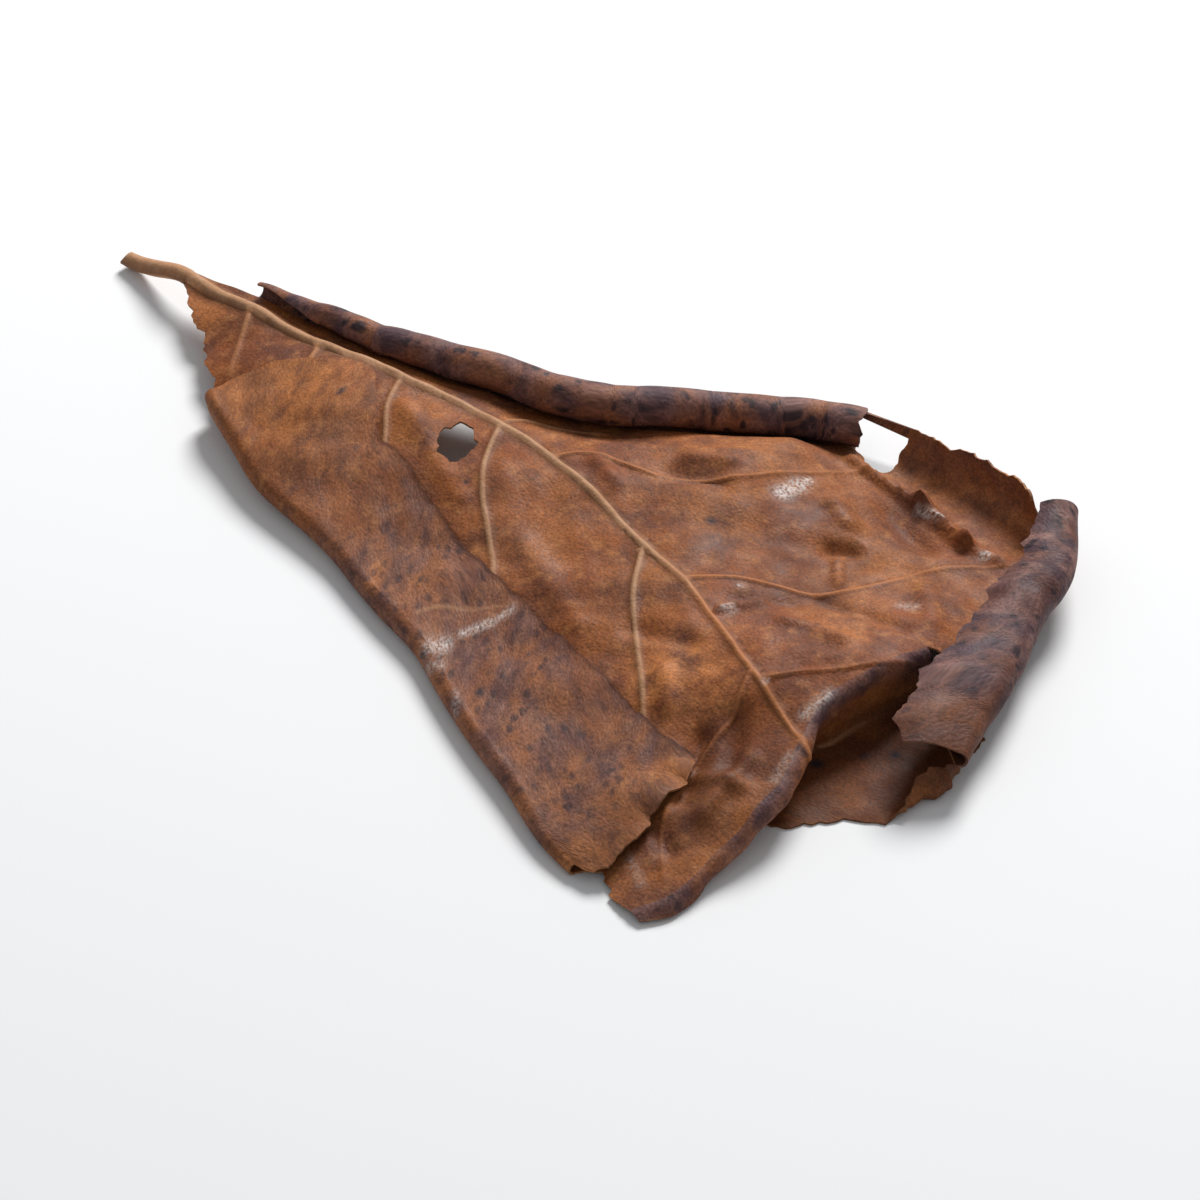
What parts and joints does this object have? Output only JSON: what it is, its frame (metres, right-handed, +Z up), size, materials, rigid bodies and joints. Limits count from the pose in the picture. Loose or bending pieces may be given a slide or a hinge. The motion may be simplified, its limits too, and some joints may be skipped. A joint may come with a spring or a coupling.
{
  "type": "autumn leaf",
  "caption": "Dry russet broad leaf, curled and folded as it dried: margins folded over and rolled into a tube, tip bent down over a crest, raised midrib and side veins, short stalk.",
  "frame": {"origin": "on the surface that the leaf lies on, under the middle of its bounding box", "axes": "+X along the leaf from the stalk towards the folded tip, +Y towards the rolled margin, +Z up from the surface; the face seen from above is the leaf's underside"},
  "size_m": [0.2016, 0.1194, 0.0136],
  "materials": {
    "dry_leaf": "leathery satin, russet brown with darker mottling"
  },
  "bodies": {
    "root": {"leaf": "dry_leaf"}
  },
  "joints": []
}
